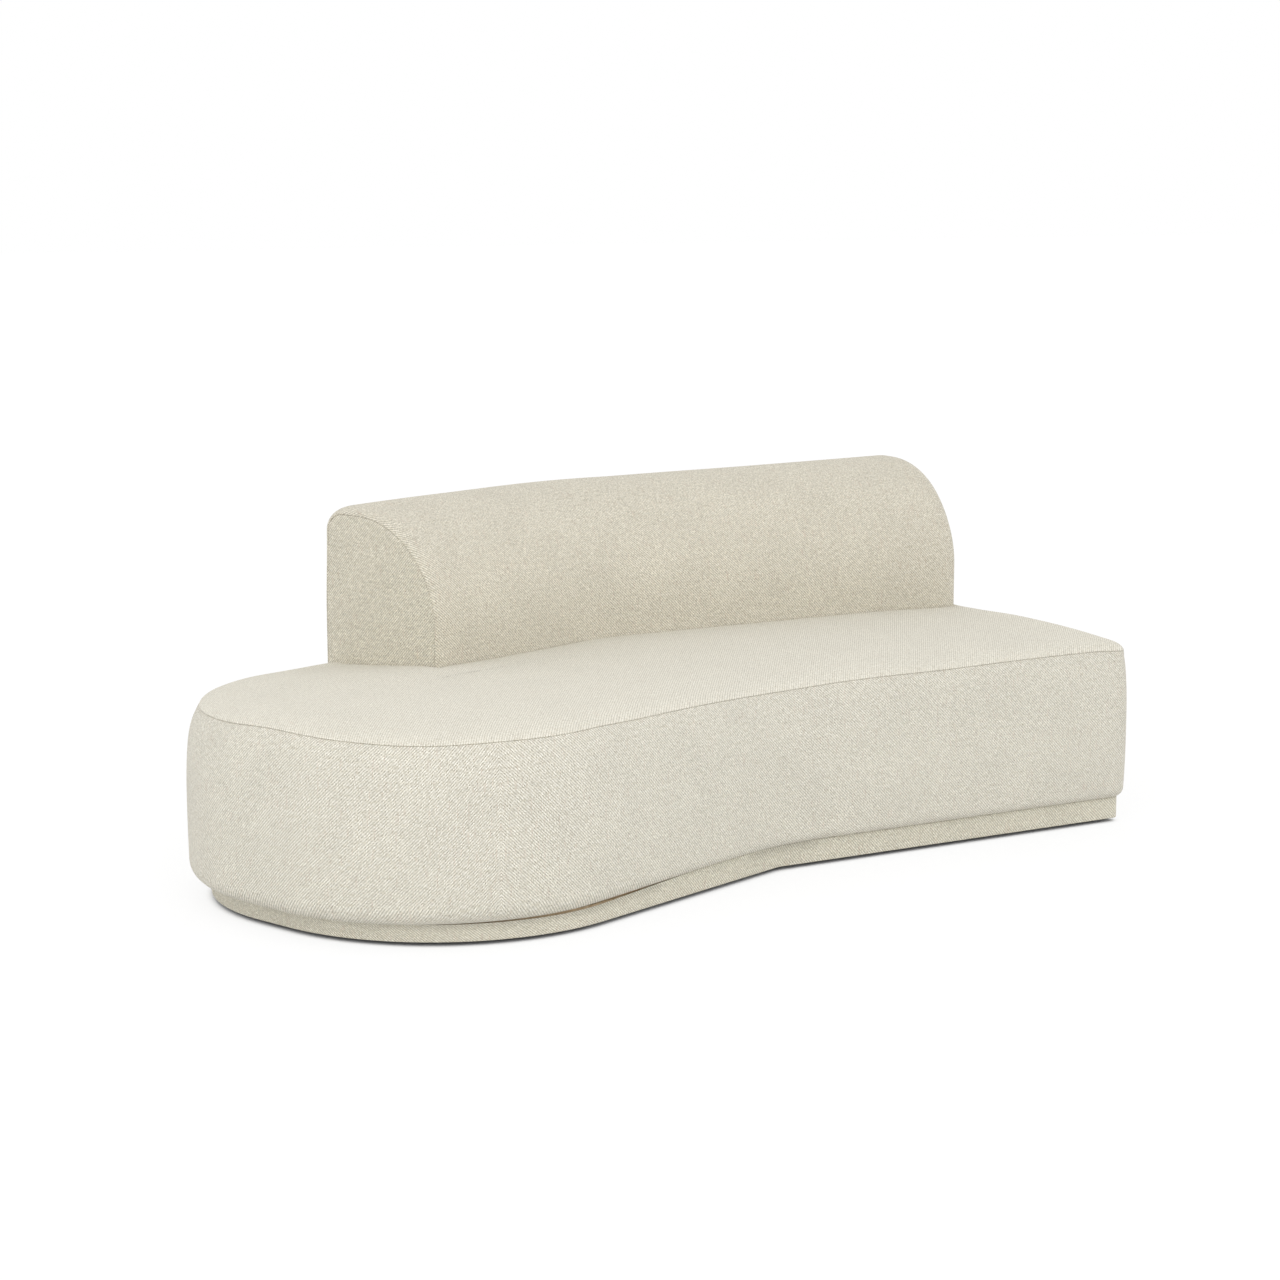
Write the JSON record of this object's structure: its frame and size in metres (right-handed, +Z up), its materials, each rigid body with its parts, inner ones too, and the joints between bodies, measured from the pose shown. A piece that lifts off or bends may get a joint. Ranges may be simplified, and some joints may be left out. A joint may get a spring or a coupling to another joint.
{
  "type": "modular sofa",
  "caption": "Armless upholstered modular sofa with a plan that bends to a rounded end, a flat joining end, a recessed plinth and a round-topped backrest.",
  "frame": {"origin": "middle of the plan's box, on the floor under the glides", "axes": "+X along the straight run towards the flat joining end, +Y from the seat's front to the backrest, +Z up"},
  "size_m": [2.0324, 1.1275, 0.735],
  "materials": {
    "cover_fabric": "oatmeal basket weave with flecks",
    "dust_sheet": "black non-woven sheet",
    "foam": "cut polyurethane foam",
    "webbing": "woven elastic strap",
    "plywood": "raw birch plywood",
    "steel": "zinc plated",
    "glide_plastic": "moulded"
  },
  "bodies": {
    "sofa": {"back_base_board": "plywood", "back_bent_board": "plywood", "back_bolts": "steel", "back_deck": "plywood", "back_foam": "foam", "back_left_panel": "cover_fabric", "back_main_cover": "cover_fabric", "back_ribs": "plywood", "back_right_panel": "cover_fabric", "back_top_rail": "plywood", "back_washers": "steel", "dust_cover": "dust_sheet", "glide_blocks": "plywood", "link_blocks": "plywood", "link_inserts": "steel", "plinth_cover": "cover_fabric", "plinth_cross_rails": "plywood", "plinth_front_rail": "plywood", "plinth_rear_rail": "plywood", "plinth_right_rail": "plywood", "plinth_tip_front_rail": "plywood", "plinth_tip_rear_rail": "plywood", "plinth_wing_front_rail": "plywood", "plinth_wing_rear_rail": "plywood", "seat_dividers": "plywood", "seat_floor_board": "plywood", "seat_foam": "foam", "seat_front_wall": "plywood", "seat_rear_wall": "plywood", "seat_right_wall": "plywood", "seat_side_cover": "cover_fabric", "seat_stretcher": "plywood", "seat_tip_divider": "plywood", "seat_tip_front_wall": "plywood", "seat_tip_rear_wall": "plywood", "seat_top_cover": "cover_fabric", "seat_webbing": "webbing", "seat_wing_front_wall": "plywood", "seat_wing_rear_wall": "plywood", "tee_nuts": "steel"},
    "glide_right_front": {"glide_pad_right_front": "glide_plastic", "glide_stud_right_front": "steel"},
    "glide_right_rear": {"glide_pad_right_rear": "glide_plastic", "glide_stud_right_rear": "steel"},
    "glide_bend_front": {"glide_pad_bend_front": "glide_plastic", "glide_stud_bend_front": "steel"},
    "glide_bend_rear": {"glide_pad_bend_rear": "glide_plastic", "glide_stud_bend_rear": "steel"},
    "glide_wing_front": {"glide_pad_wing_front": "glide_plastic", "glide_stud_wing_front": "steel"},
    "glide_wing_rear": {"glide_pad_wing_rear": "glide_plastic", "glide_stud_wing_rear": "steel"},
    "glide_tip": {"glide_pad_tip": "glide_plastic", "glide_stud_tip": "steel"}
  },
  "joints": [
    {"name": "right_front_glide_turn", "type": "hinge", "parent": "sofa", "child": "glide_right_front", "pos_m": [0.93845, -0.27736, 0.008], "axis": [0, 0, 1], "continuous": true},
    {"name": "right_rear_glide_turn", "type": "hinge", "parent": "sofa", "child": "glide_right_rear", "pos_m": [0.93845, 0.49004, 0.008], "axis": [0, 0, 1], "continuous": true},
    {"name": "bend_front_glide_turn", "type": "hinge", "parent": "sofa", "child": "glide_bend_front", "pos_m": [0.1897, -0.27736, 0.008], "axis": [0, 0, 1], "continuous": true},
    {"name": "bend_rear_glide_turn", "type": "hinge", "parent": "sofa", "child": "glide_bend_rear", "pos_m": [0.1897, 0.49004, 0.008], "axis": [0, 0, 1], "continuous": true},
    {"name": "wing_front_glide_turn", "type": "hinge", "parent": "sofa", "child": "glide_wing_front", "pos_m": [-0.34721, -0.44143, 0.008], "axis": [0, 0, 1], "continuous": true},
    {"name": "wing_rear_glide_turn", "type": "hinge", "parent": "sofa", "child": "glide_wing_rear", "pos_m": [-0.6059, 0.28105, 0.008], "axis": [0, 0, 1], "continuous": true},
    {"name": "tip_glide_turn", "type": "hinge", "parent": "sofa", "child": "glide_tip", "pos_m": [-0.889, -0.19706, 0.008], "axis": [0, 0, 1], "continuous": true}
  ]
}
